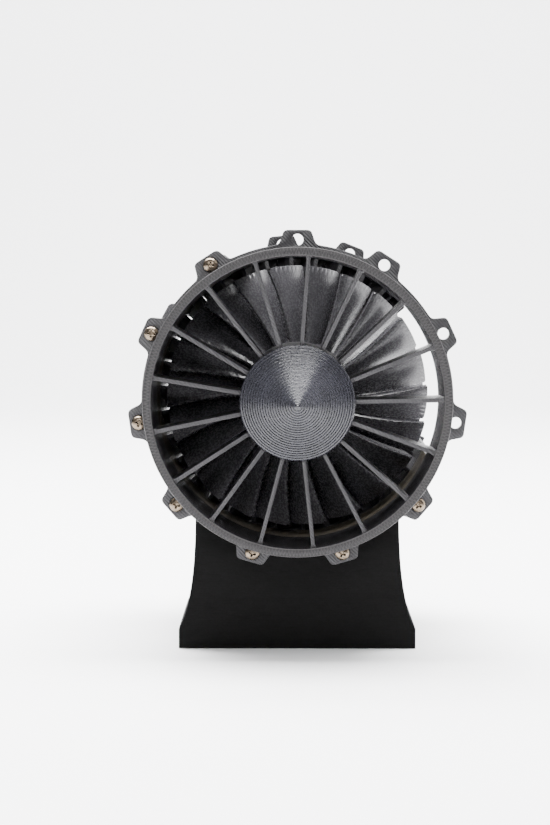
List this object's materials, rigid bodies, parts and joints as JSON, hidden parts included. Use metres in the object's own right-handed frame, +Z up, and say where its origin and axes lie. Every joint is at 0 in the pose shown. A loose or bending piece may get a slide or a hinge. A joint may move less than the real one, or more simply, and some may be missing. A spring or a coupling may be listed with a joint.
{
  "type": "axial flow supercharger",
  "caption": "Cutaway axial-flow supercharger: vaned inlet with a nose cone, bladed rotors on one shaft, stator rings, part-open casing and a flared stand.",
  "frame": {"origin": "centre of the stand's underside", "axes": "+Z up, -Y towards the inlet along the shaft, +X to the right as the inlet is seen"},
  "size_m": [0.116, 0.146, 0.1461],
  "materials": {
    "grey_print": "printed, satin",
    "blade_print": "printed, satin",
    "black_print": "matt",
    "nickel": "plated",
    "steel": "turned",
    "brass": "knurled"
  },
  "bodies": {
    "housing": {"inlet_casing": "grey_print", "nose_cone": "grey_print", "outer_casing": "grey_print", "stator_ring_1": "grey_print", "stator_ring_2": "grey_print", "rear_frame": "grey_print", "tail_cover": "grey_print", "stand": "black_print", "front_bearing_outer_race": "steel", "rear_bearing_outer_race": "steel", "front_screw_1": "nickel", "front_insert_1": "brass", "front_screw_2": "nickel", "front_insert_2": "brass", "front_screw_3": "nickel", "front_insert_3": "brass", "front_screw_4": "nickel", "front_insert_4": "brass", "front_screw_5": "nickel", "front_insert_5": "brass", "front_screw_6": "nickel", "front_insert_6": "brass", "front_screw_7": "nickel", "front_insert_7": "brass", "rear_screw_1": "nickel", "rear_insert_1": "brass", "rear_screw_2": "nickel", "rear_insert_2": "brass", "rear_screw_3": "nickel", "rear_insert_3": "brass", "rear_screw_4": "nickel", "rear_insert_4": "brass", "rear_screw_5": "nickel", "rear_insert_5": "brass", "rear_screw_6": "nickel", "rear_insert_6": "brass", "rear_screw_7": "nickel", "rear_insert_7": "brass", "rear_screw_8": "nickel", "rear_insert_8": "brass"},
    "rotor": {"drive_shaft": "steel", "rotor_1": "blade_print", "rotor_2": "blade_print", "rotor_3": "blade_print", "front_sleeve": "steel", "middle_sleeve_1": "steel", "middle_sleeve_2": "steel", "rear_sleeve": "steel", "front_shaft_nut": "steel", "rear_shaft_nut": "steel", "front_bearing_inner_race": "steel", "rear_bearing_inner_race": "steel"},
    "front_ball_cage": {"front_bearing_balls": "nickel"},
    "rear_ball_cage": {"rear_bearing_balls": "nickel"}
  },
  "joints": [
    {"name": "rotor_spin", "type": "hinge", "parent": "housing", "child": "rotor", "pos_m": [0, 0, 0.088], "axis": [0, 1, 0], "continuous": true},
    {"name": "front_cage_spin", "type": "hinge", "parent": "housing", "child": "front_ball_cage", "pos_m": [0, 0, 0.088], "axis": [0, 1, 0], "continuous": true},
    {"name": "rear_cage_spin", "type": "hinge", "parent": "housing", "child": "rear_ball_cage", "pos_m": [0, 0, 0.088], "axis": [0, 1, 0], "continuous": true}
  ],
  "couplings": [
    {"joint": "front_cage_spin", "follows": "rotor_spin", "ratio": 0.3767},
    {"joint": "rear_cage_spin", "follows": "rotor_spin", "ratio": 0.3767}
  ]
}
